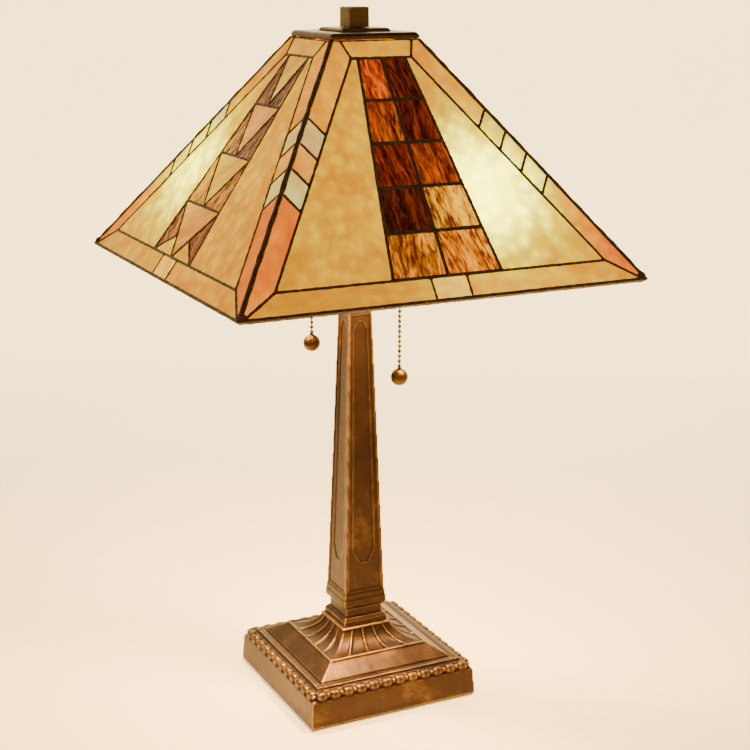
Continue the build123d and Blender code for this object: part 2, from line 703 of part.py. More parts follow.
def shade_frame():
    """The rim's four bars, the four hip bars, and the cap with its ring."""
    bar = Box(2 * SHADE_HALF, PANEL_START - RIM_START, RIM_DEPTH + RIM_PROUD)
    middle = ((PANEL_START + RIM_START) / 2, (RIM_PROUD - RIM_DEPTH) / 2)
    rim_bar = panel_plane() * Pos(0, *middle) * bar & corner_wedge()
    rim = four_sides(rim_bar)
    hip_up = Vector(-SHADE_RUN, SHADE_RUN, SHADE_RISE)
    inner_half = SHADE_HALF - CAME_THICKNESS / RISE
    foot = Plane(origin=(inner_half, -inner_half, SHADE_BOTTOM), x_dir=(1, 1, 0), z_dir=hip_up)
    across = CAME_THICKNESS * math.sqrt((1 - LEAN**2) / 2)
    out = math.sqrt(CAME_THICKNESS**2 - across**2)
    crown = ThreePointArc((across, -out), (0, -HIP_CROWN), (-across, -out))
    section = make_face([Line((0, 0), (across, -out)), crown, Line((-across, -out), (0, 0))])
    hip = foot * extrude(section, amount=hip_up.length)
    hip &= Box(4 * SHADE_HALF, 4 * SHADE_HALF, 2 * (CAP_BOTTOM - 0.1))
    hip -= [rim[0], rim[1]]
    cap = square_stack((CAP_HALF, CAP_BOTTOM), (CAP_HALF, CAP_BOTTOM + CAP_EDGE), (CAP_HALF_TOP, CAP_TOP))
    ring = post(CAP_RING_RADIUS, CAP_BOTTOM - CAP_RING_DEPTH, CAP_BOTTOM) - post(CAP_HOLE_RADIUS, 0, PIPE_CUT)
    return {
        "bottom_rim": Compound(rim),
        "hip_bars": Compound(four_sides(hip)),
        "shade_cap": cap - post(CAP_HOLE_RADIUS, 0, PIPE_CUT),
        "cap_ring": ring,
    }


def finial_parts():
    plate = square_stack(
        (PLATE_HALF, CAP_TOP), (PLATE_HALF, CAP_TOP + PLATE_EDGE), (PLATE_HALF_TOP, PLATE_TOP)
    )
    block = square_stack((FINIAL_HALF_BOTTOM, FINIAL_BOTTOM), (FINIAL_HALF_TOP, FINIAL_TOP))
    block = chamfer(block.faces().sort_by(Axis.Z)[-1].edges(), FINIAL_CHAMFER)
    return {
        "finial_plate": plate - post(CAP_HOLE_RADIUS, 0, PIPE_CUT),
        "finial": block - post(STEM_RADIUS + FINIAL_PLAY, 0, STEM_TOP + 1),
    }


def lamp():
    """Every sub-part in its place, as {node: shape}."""
    nodes = {
        "base_casting": base_casting(),
        "column_collar": column_collar(),
        "column_shaft": column_shaft(),
        "column_cap": column_cap(),
        **base_fittings(),
        **hub_parts(),
        **shade_frame(),
        **finial_parts(),
    }
    for side, turn in HOLDERS.items():
        place = Pos(0, 0, HOLDER_HEIGHT) * Rot(0, 0, turn)
        for name, shape in {**holder_parts(), **bulb_parts()}.items():
            nodes[f"{side}_{name}"] = place * shape
        for name, shape in chain_parts(CHAIN_BEADS[side]).items():
            nodes[f"{side}_{name}"] = place * Pos(CHAIN_REACH, 0, 0) * shape
    patterns = {kind: shade_panel(kind) for kind in ("blocks", "arrows")}
    for side, turn in FACES.items():
        kind = "blocks" if side in ("front", "back") else "arrows"
        for name, shape in patterns[kind].items():
            nodes[f"{side}_{name}"] = Rot(0, 0, turn) * shape
    return nodes


os.makedirs("parts", exist_ok=True)
for node, solid in lamp().items():
    export_step(solid, f"parts/{node}.step")
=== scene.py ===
import json
import math
import random

import bmesh
import bpy
from mathutils import Matrix, Vector, noise

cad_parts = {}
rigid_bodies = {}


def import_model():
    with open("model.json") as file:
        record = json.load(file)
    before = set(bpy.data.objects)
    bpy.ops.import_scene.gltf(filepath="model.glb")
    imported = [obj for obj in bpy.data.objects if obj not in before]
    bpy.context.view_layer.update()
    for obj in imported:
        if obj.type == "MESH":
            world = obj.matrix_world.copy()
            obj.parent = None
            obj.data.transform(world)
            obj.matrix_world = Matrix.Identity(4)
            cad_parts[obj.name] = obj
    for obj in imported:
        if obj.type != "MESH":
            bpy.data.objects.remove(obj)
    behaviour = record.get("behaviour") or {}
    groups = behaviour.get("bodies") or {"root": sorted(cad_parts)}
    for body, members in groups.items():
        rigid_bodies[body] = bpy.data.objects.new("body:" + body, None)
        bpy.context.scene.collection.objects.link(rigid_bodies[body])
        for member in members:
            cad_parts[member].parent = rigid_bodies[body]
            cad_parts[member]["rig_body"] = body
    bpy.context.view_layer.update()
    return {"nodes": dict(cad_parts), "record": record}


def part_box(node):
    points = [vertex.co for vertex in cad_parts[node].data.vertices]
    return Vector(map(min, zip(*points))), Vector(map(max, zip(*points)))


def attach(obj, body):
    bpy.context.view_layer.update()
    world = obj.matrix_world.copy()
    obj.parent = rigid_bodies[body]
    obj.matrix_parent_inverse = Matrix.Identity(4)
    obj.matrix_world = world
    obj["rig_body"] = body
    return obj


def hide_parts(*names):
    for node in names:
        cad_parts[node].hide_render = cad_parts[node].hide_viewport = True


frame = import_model()
NODES = frame["nodes"]
SLOTS = {part["node"]: part["material_slot"] for part in frame["record"]["subparts"]}

# Lengths are in metres, in the lamp's own frame. Each panel of the shade lies in a plane that starts at
# the shade's lower edge and leans in by SHADE_RUN over a rise of SHADE_RISE. Its glass is behind it.
SHADE_HALF = 0.1778
SHADE_BOTTOM = 0.3917
SHADE_RUN = 0.1404
SHADE_RISE = 0.1909
GLASS_OUTER = -0.0006
GLASS_INNER = -0.0036
TURNS = {"front": 0, "right": 90, "back": 180, "left": 270}
BULBS = {side: sum(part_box(f"{side}_bulb_glass"), Vector()) / 2 for side in ("front", "back")}

# ---------------------------------------------------------------------------------------------
# Node helpers


def blend(a, b, share):
    """A colour between two, with this share of the second."""
    return tuple((1 - share) * x + share * y for x, y in zip(a, b))


def rgba(value):
    """A colour with its alpha, or a socket as it is."""
    return (*value, 1) if isinstance(value, tuple) else value


class Graph:
    """A material's node tree, with short ways to add to it."""

    def __init__(self, name):
        self.material = bpy.data.materials.new(name)
        self.material.use_nodes = True
        self.nodes = self.material.node_tree.nodes
        self.links = self.material.node_tree.links
        self.shader = self.nodes["Principled BSDF"]

    def add(self, kind, inputs=None, **settings):
        node = self.nodes.new(kind)
        for name, value in settings.items():
            setattr(node, name, value)
        for name, value in (inputs or {}).items():
            self.feed(node.inputs[name], value)
        return node

    def feed(self, socket, value):
        if isinstance(value, bpy.types.NodeSocket):
            self.links.new(value, socket)
        else:
            socket.default_value = value

    def set(self, **values):
        """Feeds the shader's inputs, which are named here with underscores for spaces."""
        for name, value in values.items():
            self.feed(self.shader.inputs[name.replace("_", " ")], value)

    def place(self):
        return self.add("ShaderNodeTexCoord").outputs["Object"]

    def pointiness(self):
        return self.add("ShaderNodeNewGeometry").outputs["Pointiness"]

    def attribute(self, name, output="Color"):
        return self.add("ShaderNodeAttribute", attribute_name=name).outputs[output]

    def stretched(self, vector, scale):
        return self.add("ShaderNodeMapping", {"Vector": vector, "Scale": scale}).outputs[0]

    def noise(self, vector, scale, detail=4.0, roughness=0.55, distortion=0.0):
        values = {"Vector": vector, "Scale": scale, "Detail": detail, "Roughness": roughness,
                  "Distortion": distortion}
        return self.add("ShaderNodeTexNoise", values).outputs["Fac"]

    def cells(self, vector, scale, feature="F1", **inputs):
        values = {"Vector": vector, "Scale": scale, **inputs}
        return self.add("ShaderNodeTexVoronoi", values, feature=feature).outputs["Distance"]

    def math(self, operation, a, b=0.0):
        node = self.add("ShaderNodeMath", operation=operation)
        self.feed(node.inputs[0], a)
        self.feed(node.inputs[1], b)
        return node.outputs[0]

    def vector_math(self, operation, *values, output="Vector"):
        node = self.add("ShaderNodeVectorMath", operation=operation)
        for socket, value in zip(node.inputs, values):
            self.feed(socket, value)
        return node.outputs[output]

    def shared(self, a, b, share):
        """A value between two, with this share of the second."""
        return self.math("ADD", self.math("MULTIPLY", a, 1 - share), self.math("MULTIPLY", b, share))

    def spread(self, value, low, high, at_low, at_high):
        """The value carried straight from the span low..high to the span at_low..at_high."""
        values = {"Value": value, "From Min": low, "From Max": high, "To Min": at_low, "To Max": at_high}
        return self.add("ShaderNodeMapRange", values).outputs["Result"]

    def ramp(self, factor, *stops):
        node = self.add("ShaderNodeValToRGB", {"Fac": factor})
        elements = node.color_ramp.elements
        while len(elements) < len(stops):
            elements.new(0.5)
        for element, (position, colour) in zip(elements, stops):
            element.position = position
            element.color = rgba(colour)
        return node.outputs["Color"]

    def grey(self, factor, low, high, at_low=0.0, at_high=1.0):
        return self.ramp(factor, (low, (at_low,) * 3), (high, (at_high,) * 3))

    def mix(self, factor, a, b, blend_type="MIX"):
        node = self.add("ShaderNodeMix", data_type="RGBA", blend_type=blend_type)
        self.feed(node.inputs["Factor"], factor)
        self.feed(node.inputs["A"], rgba(a))
        self.feed(node.inputs["B"], rgba(b))
        return node.outputs["Result"]

    def tinted(self, a, b):
        return self.mix(1.0, a, b, "MULTIPLY")

    def bump(self, height, distance, strength=1.0, under=None):
        values = {"Height": height, "Distance": distance, "Strength": strength}
        if under is not None:
            values["Normal"] = under
        return self.add("ShaderNodeBump", values).outputs["Normal"]


# ---------------------------------------------------------------------------------------------
# Metals and the small parts' materials


def bronze_material(name, dark, body, bright, wear=1.0, rough=0.36):
    """Cast metal with a rubbed antique finish: bright on the edges, partly worn and partly a painted
    highlight, and dark in the hollows, partly patina and partly painted shade.
    """
    g = Graph(name)
    at = g.place()
    cloud = g.noise(at, 34, detail=5, roughness=0.6)
    speck = g.noise(at, 420, detail=3, roughness=0.7)
    colour = g.ramp(cloud, (0.28, blend(dark, body, 0.5)), (0.55, body), (0.80, blend(body, bright, 0.2)))
    colour = g.mix(g.grey(speck, 0.42, 0.62, at_high=0.30), colour, dark)
    edge = g.pointiness()
    # Darker in the concave hollows: partly a dark patina, partly painted shade where less light gets in.
    hollow_patina_and_shade = g.grey(edge, 0.44, 0.497, at_low=1.0, at_high=0.0)
    colour = g.mix(hollow_patina_and_shade, colour, tuple(0.35 * c for c in dark))
    # Darker still where nearby surfaces hem a point in: painted shade from ambient occlusion, with some
    # patina in the recesses.
    open_sky = g.add("ShaderNodeAmbientOcclusion", {"Distance": 0.014}, samples=6).outputs["AO"]
    occlusion_shade_and_patina = g.grey(open_sky, 0.30, 0.85, at_low=0.80, at_high=0.0)
    colour = g.mix(occlusion_shade_and_patina, colour, tuple(0.5 * c for c in dark))
    # Brighter on sharp raised edges: partly rubbed wear, partly a painted highlight.
    worn_and_highlit_edges = g.math("MULTIPLY", g.grey(edge, 0.508, 0.56, at_high=wear), g.grey(cloud, 0.3, 0.6, at_low=0.45))
    g.set(Base_Color=g.mix(worn_and_highlit_edges, colour, bright), Metallic=0.78, Coat_Weight=0.03, Coat_Roughness=0.28)
    g.set(Roughness=g.grey(g.shared(cloud, speck, 0.3), 0.3, 0.7, rough - 0.08, rough + 0.14))
    waves = g.bump(g.noise(at, 90, detail=3), 0.0004, strength=0.35)
    g.set(Normal=g.bump(speck, 0.00012, strength=0.5, under=waves))
    return g.material


def came_material():
    """Solder under a dark copper patina, brighter and browner where it has been rubbed."""
    g = Graph("patinated_solder")
    at = g.place()
    cloud = g.noise(at, 120, detail=5, roughness=0.6)
    colour = g.ramp(cloud, (0.3, (0.012, 0.008, 0.006)), (0.55, (0.030, 0.017, 0.010)),
                    (0.75, (0.085, 0.045, 0.024)))
    rubbed = g.grey(g.pointiness(), 0.52, 0.62, at_high=0.6)
    g.set(Base_Color=g.mix(rubbed, colour, (0.16, 0.085, 0.045)), Metallic=0.6)
    g.set(Roughness=g.grey(cloud, 0.3, 0.7, at_low=0.42, at_high=0.64))
    g.set(Normal=g.bump(g.noise(at, 500, detail=3), 0.00015, strength=0.6))
    return g.material


def plain_metal(name, low, high, scale, rough_low, rough_high, brushed=(1, 1, 1)):
    """Machined or rolled metal, with its grain stretched along one axis."""
    g = Graph(name)
    grain = g.noise(g.stretched(g.place(), brushed), scale, detail=6, roughness=0.65)
    g.set(Base_Color=g.ramp(grain, (0.3, low), (0.7, high)), Metallic=1.0)
    g.set(Roughness=g.grey(grain, 0.25, 0.75, rough_low, rough_high))
    g.set(Normal=g.bump(grain, 0.00006, strength=0.5))
    return g.material


def felt_material():
    """Dark green felt, matt and fibrous."""
    g = Graph("felt")
    at = g.place()
    fibre = g.noise(at, 900, detail=8, roughness=0.75, distortion=1.5)
    tuft = g.noise(at, 120)
    pile = g.math("MULTIPLY", fibre, tuft)
    g.set(Base_Color=g.ramp(pile, (0.12, (0.010, 0.016, 0.009)), (0.42, (0.045, 0.065, 0.038))))
    g.set(Roughness=0.95, Normal=g.bump(fibre, 0.0004, strength=0.9), Sheen_Weight=0.5)
    return g.material


def moulded_material(name, low, high, rough):
    """Rubber or moulded resin, with a fine even grain."""
    g = Graph(name)
    at = g.place()
    grain = g.noise(at, 700, roughness=0.7)
    g.set(Base_Color=g.ramp(g.noise(at, 60), (0.35, low), (0.7, high)), Roughness=rough)
    g.set(Normal=g.bump(grain, 0.0001, strength=0.5))
    return g.material


# ---------------------------------------------------------------------------------------------
# Glass materials. Two attributes come from each pane: "tint", its own colour, and "grain", a
# place in its own turned and shifted copy of the panel's plane, so that no two panes match.

GLOW_SOFTNESS = 0.0012
GLOW_STEEPNESS = 2.5
WARM_AMBER = (1.0, 0.78, 0.0)
HOT_YELLOW = (1.0, 0.93, 0.06)
MOTTLE_SCALE = 95
MOTTLE_BEND = 0.012


def lamp_glow(g, near, base):
    """How brightly the bulbs light a point of the shade from inside, wherever the shade is turned to."""
    at = g.add("ShaderNodeNewGeometry").outputs["Position"]
    total = base
    for bulb in BULBS.values():
        away = g.vector_math("DISTANCE", at, bulb, output="Value")
        squared = g.math("MULTIPLY", away, away)
        falloff = g.math("POWER", g.math("ADD", squared, GLOW_SOFTNESS), GLOW_STEEPNESS)
        total = g.math("ADD", total, g.math("DIVIDE", near, falloff))
    return total


def soft_mottles(g, grain):
    """Round spots with soft edges, on a grid that is bent a little, from 1 inside to 0 outside."""
    drift = g.add("ShaderNodeTexNoise", {"Vector": grain, "Scale": 60.0}).outputs["Color"]
    bent = g.vector_math("MULTIPLY_ADD", drift, (MOTTLE_BEND,) * 3, grain)
    spots = g.cells(bent, MOTTLE_SCALE, "SMOOTH_F1", Smoothness=0.9)
    return g.grey(spots, 0.05, 0.62, at_low=1.0, at_high=0.0)


def opal_glass(name, deep, pale, streak, swirl=1.6, mottle=0.5, near=7.8e-6, base=1.02):
    """Opalescent glass: cloudy streaks and soft mottles, lit from behind."""
    g = Graph(name)
    grain = g.attribute("grain", "Vector")
    long = g.stretched(grain, streak)
    wisp = g.noise(long, 24, detail=6, roughness=0.60, distortion=swirl)
    fine = g.noise(long, 100, detail=5, roughness=0.62, distortion=1.2)
    cloud = g.shared(wisp, fine, 0.32)
    mottles = soft_mottles(g, grain)
    colour = g.ramp(cloud, (0.36, deep), (0.52, blend(deep, pale, 0.5)), (0.66, pale))
    colour = g.mix(g.math("MULTIPLY", mottles, mottle), colour, pale)
    colour = g.tinted(colour, g.attribute("tint"))
    passed = g.math("ADD", g.math("MULTIPLY", mottles, 0.55 * mottle), 0.86)
    light = g.math("MULTIPLY", lamp_glow(g, near, base), passed)
    level = g.math("MULTIPLY", light, 0.25)
    warm = g.grey(level, 0.26, 0.46)
    hot = g.grey(level, 0.42, 0.74)
    lit = g.mix(hot, g.mix(warm, colour, g.mix(0.8, colour, WARM_AMBER)), HOT_YELLOW)
    shade = g.math("ADD", g.math("ADD", cloud, 0.50), hot)
    g.set(Base_Color=g.tinted(colour, (0.035, 0.035, 0.035)), Roughness=0.24, Specular_IOR_Level=0.06)
    g.set(Emission_Color=lit, Emission_Strength=g.math("MULTIPLY", light, shade))
    ripples = g.noise(grain, 120, detail=2, roughness=0.4, distortion=0.6)
    g.set(Normal=g.bump(ripples, 0.0006, strength=0.35))
    return g.material


def ripple_glass(name, deep, bright, near=4.0e-6, base=0.95):
    """Transparent red-brown glass whose ripples gather the light into fine wavering lines."""
    g = Graph(name)
    grain = g.attribute("grain", "Vector")
    tint = g.attribute("tint")
    ripple = g.noise(g.stretched(grain, (1.0, 0.22, 1.0)), 420, detail=2, roughness=0.5, distortion=0.5)
    cord = g.noise(g.stretched(grain, (1.0, 0.10, 1.0)), 110, detail=3, distortion=0.3)
    depth = g.shared(ripple, cord, 0.45)
    colour = g.ramp(depth, (0.38, deep), (0.50, blend(deep, bright, 0.4)), (0.60, bright))
    colour = g.tinted(colour, tint)
    light = lamp_glow(g, near, base)
    clear = g.grey(g.add("ShaderNodeSeparateColor", {"Color": tint}).outputs["Red"], 0.5, 1.0)
    near_bulb = g.grey(g.math("MULTIPLY", light, 0.5), 0.50, 0.74)
    through = g.math("MULTIPLY", g.math("MULTIPLY", g.grey(depth, 0.42, 0.56), near_bulb), clear)
    lit = g.mix(through, colour, (0.82, 0.38, 0.0))
    specks = g.grey(g.cells(grain, 480), 0.04, 0.14, at_low=1.0, at_high=0.0)
    sparkle = g.math("MULTIPLY", specks, g.grey(g.noise(grain, 140, detail=2), 0.52, 0.60))
    lit = g.mix(g.math("MULTIPLY", sparkle, 0.5), lit, (0.9, 0.30, 0.05))
    gathered = g.grey(depth, 0.38, 0.62, at_low=0.6, at_high=1.3)
    g.set(Base_Color=g.tinted(colour, (0.12, 0.10, 0.10)), Roughness=0.12, Specular_IOR_Level=0.09)
    g.set(Emission_Color=lit, Emission_Strength=g.math("MULTIPLY", light, gathered))
    g.set(Normal=g.bump(depth, 0.0010, strength=0.6))
    return g.material


def bulb_material():
    """Frosted bulb glass, brightest round its filament and greyer at the neck."""
    g = Graph("frosted_bulb")
    closeness = lamp_glow(g, 8e-8, 0.0)
    g.set(Base_Color=(0.95, 0.90, 0.80, 1), Roughness=0.45)
    g.set(Emission_Color=g.mix(g.grey(closeness, 0.3, 0.6), (1.0, 0.62, 0.26), (1.0, 0.86, 0.62)))
    g.set(Emission_Strength=g.math("MULTIPLY", g.grey(closeness, 0.22, 0.62, at_low=0.25), 7.0))
    g.set(Normal=g.bump(g.noise(g.place(), 260, detail=3), 0.0001, strength=0.4))
    return g.material


MATERIALS = {
    "bronze_casting": bronze_material(
        "antique_bronze", dark=(0.010, 0.0045, 0.0022), body=(0.036, 0.0160, 0.0066),
        bright=(0.46, 0.25, 0.085)),
    "bronze_sheet": bronze_material(
        "bronze_sheet", dark=(0.060, 0.025, 0.010), body=(0.17, 0.075, 0.026),
        bright=(0.42, 0.22, 0.08), wear=0.7, rough=0.30),
    "cap_bronze": bronze_material(
        "dark_bronze", dark=(0.012, 0.006, 0.004), body=(0.032, 0.016, 0.009),
        bright=(0.16, 0.085, 0.04), wear=0.8, rough=0.34),
    "finial_bronze": bronze_material(
        "olive_bronze", dark=(0.040, 0.024, 0.008), body=(0.085, 0.052, 0.018),
        bright=(0.28, 0.17, 0.07), wear=0.9, rough=0.34),
    "patinated_came": came_material(),
    "brass": plain_metal(
        "aged_brass", (0.040, 0.024, 0.009), (0.12, 0.072, 0.028), scale=240,
        rough_low=0.22, rough_high=0.42),
    "black_steel": plain_metal(
        "blackened_steel", (0.035, 0.033, 0.03), (0.10, 0.095, 0.09), scale=300,
        rough_low=0.32, rough_high=0.5, brushed=(1, 1, 0.2)),
    "iron": plain_metal(
        "raw_iron", (0.03, 0.03, 0.03), (0.09, 0.085, 0.08), scale=150,
        rough_low=0.55, rough_high=0.8),
    "felt": felt_material(),
    "rubber": moulded_material("rubber", (0.012, 0.012, 0.012), (0.03, 0.03, 0.03), rough=0.6),
    "phenolic": moulded_material("phenolic", (0.02, 0.016, 0.014), (0.05, 0.04, 0.034), rough=0.4),
    "bulb_glass": bulb_material(),
    "border_glass": opal_glass(
        "amber_border_glass", deep=(1.0, 0.32, 0.003), pale=(1.0, 0.56, 0.008),
        streak=(1, 0.35, 1), mottle=0.35),
    "field_glass": opal_glass(
        "amber_field_glass", deep=(1.0, 0.31, 0.002), pale=(1.0, 0.50, 0.006),
        streak=(1, 0.6, 1), swirl=1.4),
    "arrow_glass": opal_glass(
        "cream_streaky_glass", deep=(0.95, 0.24, 0.004), pale=(1.0, 0.56, 0.060),
        streak=(1, 0.16, 1), swirl=2.4, mottle=0.1, near=5.0e-6, base=0.85),
    "block_glass": ripple_glass(
        "red_ripple_glass", deep=(0.110, 0.006, 0.000), bright=(0.66, 0.062, 0.000)),
    "dark_glass": ripple_glass(
        "plum_ripple_glass", deep=(0.080, 0.018, 0.010), bright=(0.27, 0.075, 0.036)),
}

# ---------------------------------------------------------------------------------------------
# Mesh helpers


def new_object(name, data):
    thing = bpy.data.objects.new(name, data)
    bpy.context.scene.collection.objects.link(thing)
    return thing


def new_piece(name, mesh, node, material=None):
    """A piece that stands in for a CAD node, on its body, in its slot's material or the one given."""
    piece = new_object(name, mesh)
    piece.data.materials.clear()
    piece.data.materials.append(MATERIALS[material or SLOTS[node]])
    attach(piece, NODES[node]["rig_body"])
    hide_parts(node)


def finished(mesh_object):
    """A new mesh with the object's modifiers applied, after which the object is gone."""
    graph = bpy.context.evaluated_depsgraph_get()
    mesh = bpy.data.meshes.new_from_object(mesh_object.evaluated_get(graph))
    bpy.data.objects.remove(mesh_object)
    return mesh


def smooth_shade(mesh):
    mesh.polygons.foreach_set("use_smooth", [True] * len(mesh.polygons))
    mesh.update()


def cast(source, voxel, rounds, rough, rough_scale):
    """The source mesh as one skin of small even faces, with worn edges and an uneven surface.

    No part of it ends up higher than the source's top.
    """
    worker = new_object("worker", source.copy())
    remesh = worker.modifiers.new("skin", "REMESH")
    remesh.mode = "VOXEL"
    remesh.voxel_size = voxel
    wear = worker.modifiers.new("wear", "SMOOTH")
    wear.factor = 0.5
    wear.iterations = rounds
    mesh = finished(worker)
    normals = [vertex.normal.copy() for vertex in mesh.vertices]
    top = max(vertex.co.z for vertex in source.vertices)
    for vertex, normal in zip(mesh.vertices, normals):
        vertex.co += normal * (rough * noise.noise(vertex.co * rough_scale))
        vertex.co.z = min(vertex.co.z, top)
    smooth_shade(mesh)
    return mesh


def recast(node, voxel, rounds, rough, rough_scale, material=None, name=None):
    """Replaces a CAD node with its cast copy."""
    mesh = cast(NODES[node].data, voxel, rounds, rough, rough_scale)
    new_piece(name or f"{node}_cast", mesh, node, material)


# ---------------------------------------------------------------------------------------------
# The shade's glass

GLASS_TUCK = 0.0005
SHARP_GLASS_EDGE = math.radians(50)


def panel_axes(side):
    """A panel's origin, and its across, up and outward directions."""
    length = math.hypot(SHADE_RUN, SHADE_RISE)
    turn = Matrix.Rotation(math.radians(TURNS[side]), 3, "Z")
    origin = turn @ Vector((0, -SHADE_HALF, SHADE_BOTTOM))
    across = turn @ Vector((1, 0, 0))
    up = turn @ Vector((0, SHADE_RUN, SHADE_RISE)) / length
    return origin, across, up, across.cross(up)


def hull(points):
    """The convex outline of flat points, anticlockwise."""
    points = sorted(set((round(x, 6), round(y, 6)) for x, y in points))

    def cross(a, b, c):
        return (b[0] - a[0]) * (c[1] - a[1]) - (b[1] - a[1]) * (c[0] - a[0])

    def half(sequence):
        chain = []
        for point in sequence:
            while len(chain) > 1 and cross(chain[-2], chain[-1], point) <= 1e-9:
                chain.pop()
            chain.append(point)
        return chain[:-1]

    return half(points) + half(points[::-1])


def centre_of(outline):
    return sum(x for x, _ in outline) / len(outline), sum(y for _, y in outline) / len(outline)


def panes_of(node, side):
    """Each pane of a glass node as its outline in the panel's plane, from the lowest up."""
    origin, across, up, _ = panel_axes(side)
    shape = bmesh.new()
    shape.from_mesh(NODES[node].data)
    bmesh.ops.remove_doubles(shape, verts=shape.verts, dist=1e-6)
    seen, outlines = set(), []
    for start in shape.verts:
        if start in seen:
            continue
        stack, island = [start], []
        seen.add(start)
        while stack:
            vertex = stack.pop()
            island.append(vertex.co - origin)
            for edge in vertex.link_edges:
                other = edge.other_vert(vertex)
                if other not in seen:
                    seen.add(other)
                    stack.append(other)
        outlines.append(hull([(co.dot(across), co.dot(up)) for co in island]))
    shape.free()
    return sorted(outlines, key=lambda outline: (round(centre_of(outline)[1], 4), centre_of(outline)[0]))


def grown(outline, amount):
    """The outline with each corner moved outwards, to tuck the glass under the solder."""
    cx, cy = centre_of(outline)
    corners = []
    for x, y in outline:
        share = amount / math.hypot(x - cx, y - cy)
        corners.append((x + share * (x - cx), y + share * (y - cy)))
    return corners


def pane_shape(outline, step):
    """A pane as a slab in the panel's plane, cut into a grid of small faces."""
    shape = bmesh.new()
    low = [shape.verts.new((x, y, GLASS_INNER)) for x, y in outline]
    high = [shape.verts.new((x, y, GLASS_OUTER)) for x, y in outline]
    shape.faces.new(high)
    shape.faces.new(low[::-1])
    for i in range(len(outline)):
        j = (i + 1) % len(outline)
        shape.faces.new((low[i], low[j], high[j], high[i]))
    for axis in range(2):
        start = min(point[axis] for point in outline)
        length = max(point[axis] for point in outline) - start
        normal = Vector((1 - axis, axis, 0))
        count = int(length / step)
        for k in range(1, count + 1):
            cut = start + k * length / (count + 1)
            geometry = shape.verts[:] + shape.edges[:] + shape.faces[:]
            bmesh.ops.bisect_plane(shape, geom=geometry, dist=1e-7, plane_co=normal * cut, plane_no=normal)
    return shape


def glass_piece(node, side, tints, step, wave, wave_scale):
    """All the panes of one CAD node, each with its own tint and grain."""
    origin, across, up, out = panel_axes(side)
    to_lamp = Matrix((across, up, out)).transposed()
    whole = bmesh.new()
    tint_layer = whole.verts.layers.float_color.new("tint")
    grain_layer = whole.verts.layers.float_vector.new("grain")
    chance = random.Random(node)
    for outline in panes_of(node, side):
        tint, angle = tints(outline, chance)
        pane = pane_shape(grown(outline, GLASS_TUCK), step)
        shift = Vector((chance.uniform(-1, 1), chance.uniform(-1, 1), chance.uniform(-1, 1)))
        turn = Matrix.Rotation(angle, 3, "Z")
        made = {}
        for vertex in pane.verts:
            place = Vector(vertex.co)
            outside = place.z > (GLASS_OUTER + GLASS_INNER) / 2
            lift = wave * noise.noise((place + shift) * wave_scale)
            place.z += lift - 0.5 * wave if outside else -lift
            new = whole.verts.new(to_lamp @ place + origin)
            new[tint_layer] = (*tint, 1)
            new[grain_layer] = turn @ vertex.co + shift
            made[vertex] = new
        for face in pane.faces:
            whole.faces.new([made[vertex] for vertex in face.verts])
        pane.free()
    mesh = bpy.data.meshes.new(f"{node}_panes")
    whole.to_mesh(mesh)
    whole.free()
    mesh.shade_smooth()
    mesh.set_sharp_from_angle(angle=SHARP_GLASS_EDGE)
    new_piece(f"{node}_panes", mesh, node)


# ---------------------------------------------------------------------------------------------
# The panes' tints, as factors on their material's colour. Each function gives a pane's tint and the
# turn of its grain. Heights and widths are in the panel's plane, from the middle of its lower edge.

LOWER_STRIP_TOP = 0.020
MIDDLE_LINE = 0.001
SIDE_PANE_WIDTH = 0.034
LONG_SIDE_PANE_TOP = 0.1
TILE = (1.50, 1.75, 9.0)
CHEVRONS = [(1.10, 1.75, 30.0), (1.30, 1.15, 8.0), (1.10, 1.60, 34.0)]
SIDE_CHEVRON_LOW, SIDE_CHEVRON_PITCH = 0.1013, 0.0213

BLOCK_PITCH = 0.039
BLOCKS_LEFT = [(1.7, 5.0, 1.0), (0.20, 0.26, 1.0), (0.42, 0.42, 1.0), (0.80, 0.75, 1.0), (1.45, 1.7, 1.0)]
BLOCKS_RIGHT = [(2.3, 5.0, 1.0), (1.4, 4.0, 1.0), (0.56, 0.55, 1.0), (0.30, 0.30, 1.0), (0.34, 0.40, 1.0)]

ARROW_PITCH = 0.04875
ARROWS = [(1.2, 1.15, 1.4), (1.2, 1.50, 1.2), (1.2, 1.05, 2.4), (1.2, 1.50, 1.2)]
DARKS = [(1.6, 1.0, 0.7), (2.8, 3.0, 0.6), (1.0, 0.85, 1.2), (0.9, 0.80, 1.1)]


def varied(chance, colour, spread):
    """A colour with a little chance in its brightness and warmth."""
    light = 1 + chance.uniform(-spread, spread)
    warm = chance.uniform(-spread, spread) / 2
    return colour[0] * light, colour[1] * light * (1 - warm), colour[2] * light * (1 - 1.5 * warm)


def in_row(colours, outline, pitch):
    """The colour for a pane's row in its strip, from the lowest row up."""
    row = int((centre_of(outline)[1] - LOWER_STRIP_TOP) / pitch)
    return colours[min(len(colours) - 1, row)]


